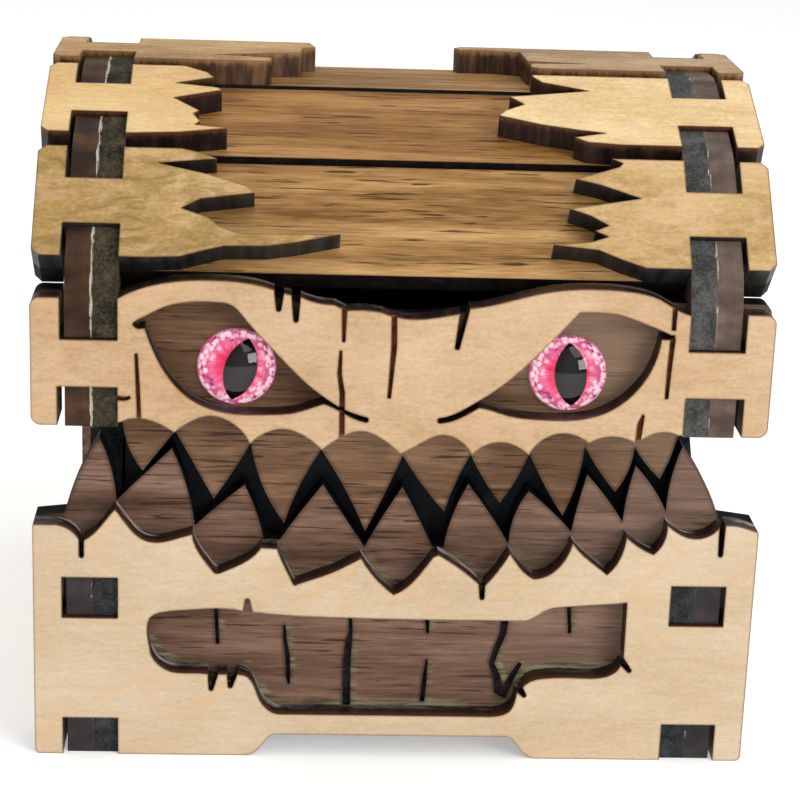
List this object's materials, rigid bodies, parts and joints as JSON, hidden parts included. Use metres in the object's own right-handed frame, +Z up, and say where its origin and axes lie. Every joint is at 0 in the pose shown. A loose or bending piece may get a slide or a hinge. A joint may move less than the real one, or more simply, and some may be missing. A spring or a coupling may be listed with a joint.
{
  "type": "dice storage chest",
  "caption": "Small hinged chest of two-layer laser-cut wood with an arched plank lid, interlocking wooden teeth along its mouth and domed glass eyes, holding dice.",
  "frame": {"origin": "on the ground, at the middle of the overall width and depth", "axes": "+Z up, +X to the right seen from the front, the toothed front faces -Y, the hinges are at the back on +Y"},
  "size_m": [0.09, 0.0826, 0.0834],
  "materials": {
    "birch_ply": "bare laser-cut birch plywood, light faces and scorched brown edges",
    "walnut_board": "walnut-veneered board, brown streaked faces and charred black edges",
    "black_card": "matte black flocked card",
    "eye_glass": "clear polished glass dome",
    "iris_print": "printed pink iris with a dark upright pupil",
    "hinge_brass": "satin brass",
    "steel": "plain steel pins and screws"
  },
  "bodies": {
    "base": {"base_back_inner": "walnut_board", "base_back_outer": "birch_ply", "base_floor": "walnut_board", "base_front_outer": "birch_ply", "base_front_teeth": "walnut_board", "base_side_left_outer": "birch_ply", "base_side_left_teeth": "walnut_board", "base_side_right_outer": "birch_ply", "base_side_right_teeth": "walnut_board", "hinge_left_base_leaf": "hinge_brass", "hinge_left_pin": "steel", "hinge_right_base_leaf": "hinge_brass", "hinge_right_pin": "steel", "hinge_screw_1": "steel", "hinge_screw_2": "steel", "hinge_screw_5": "steel", "hinge_screw_6": "steel", "tray_back": "black_card", "tray_floor": "black_card", "tray_front": "black_card", "tray_left": "black_card", "tray_right": "black_card"},
    "lid": {"eye_glass_left": "eye_glass", "eye_glass_right": "eye_glass", "hinge_left_lid_leaf": "hinge_brass", "hinge_right_lid_leaf": "hinge_brass", "hinge_screw_3": "steel", "hinge_screw_4": "steel", "hinge_screw_7": "steel", "hinge_screw_8": "steel", "iris_left": "iris_print", "iris_right": "iris_print", "lid_back_inner": "walnut_board", "lid_back_outer": "birch_ply", "lid_front_outer": "birch_ply", "lid_front_teeth": "walnut_board", "lid_side_left_outer": "birch_ply", "lid_side_left_teeth": "walnut_board", "lid_side_right_outer": "birch_ply", "lid_side_right_teeth": "walnut_board", "overlay_back_high_left": "birch_ply", "overlay_back_high_right": "birch_ply", "overlay_back_low_left": "birch_ply", "overlay_back_low_right": "birch_ply", "overlay_front_high_left": "birch_ply", "overlay_front_high_right": "birch_ply", "overlay_front_low_left": "birch_ply", "overlay_front_low_right": "birch_ply", "overlay_top_left": "birch_ply", "overlay_top_right": "birch_ply", "plank_back_high": "walnut_board", "plank_back_low": "walnut_board", "plank_front_high": "walnut_board", "plank_front_low": "walnut_board", "plank_top": "walnut_board"}
  },
  "joints": [
    {"name": "lid_hinge", "type": "hinge", "parent": "base", "child": "lid", "pos_m": [0, 0.03984, 0.0374], "axis": [-1, 0, 0], "range_deg": [0, 95]}
  ]
}
